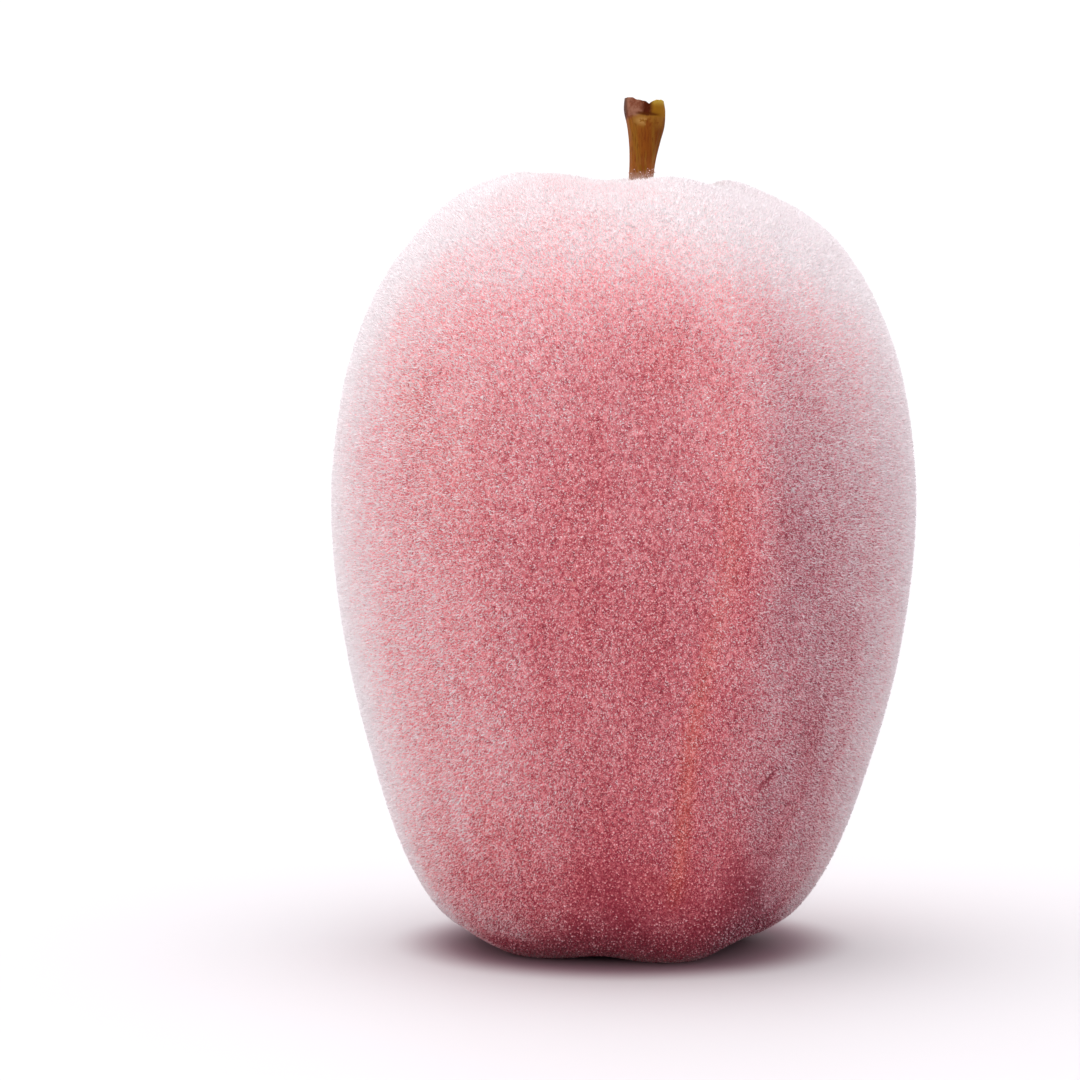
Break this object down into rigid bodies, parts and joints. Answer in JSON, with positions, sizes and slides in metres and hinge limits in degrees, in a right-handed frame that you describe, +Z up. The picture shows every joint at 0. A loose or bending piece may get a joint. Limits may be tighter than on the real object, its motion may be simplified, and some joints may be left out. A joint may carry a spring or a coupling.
{
  "type": "apple",
  "caption": "Tall, softly ribbed red apple standing on its lobed base, with a stalk hollow, a stout stalk with a broken-off head and a dried flower in the eye.",
  "frame": {"origin": "under the middle of the apple, on the surface it stands on", "axes": "+Z up along the fruit, -Y towards the viewer of the picture, +X to that viewer's right"},
  "size_m": [0.0704, 0.0692, 0.1014],
  "materials": {
    "skin": "matte, red skin under fine frost",
    "stalk": "satin, brown woody stalk",
    "dried_flower": "matte, dried"
  },
  "bodies": {
    "root": {"flesh": "skin", "stalk": "stalk", "calyx": "dried_flower"}
  },
  "joints": []
}
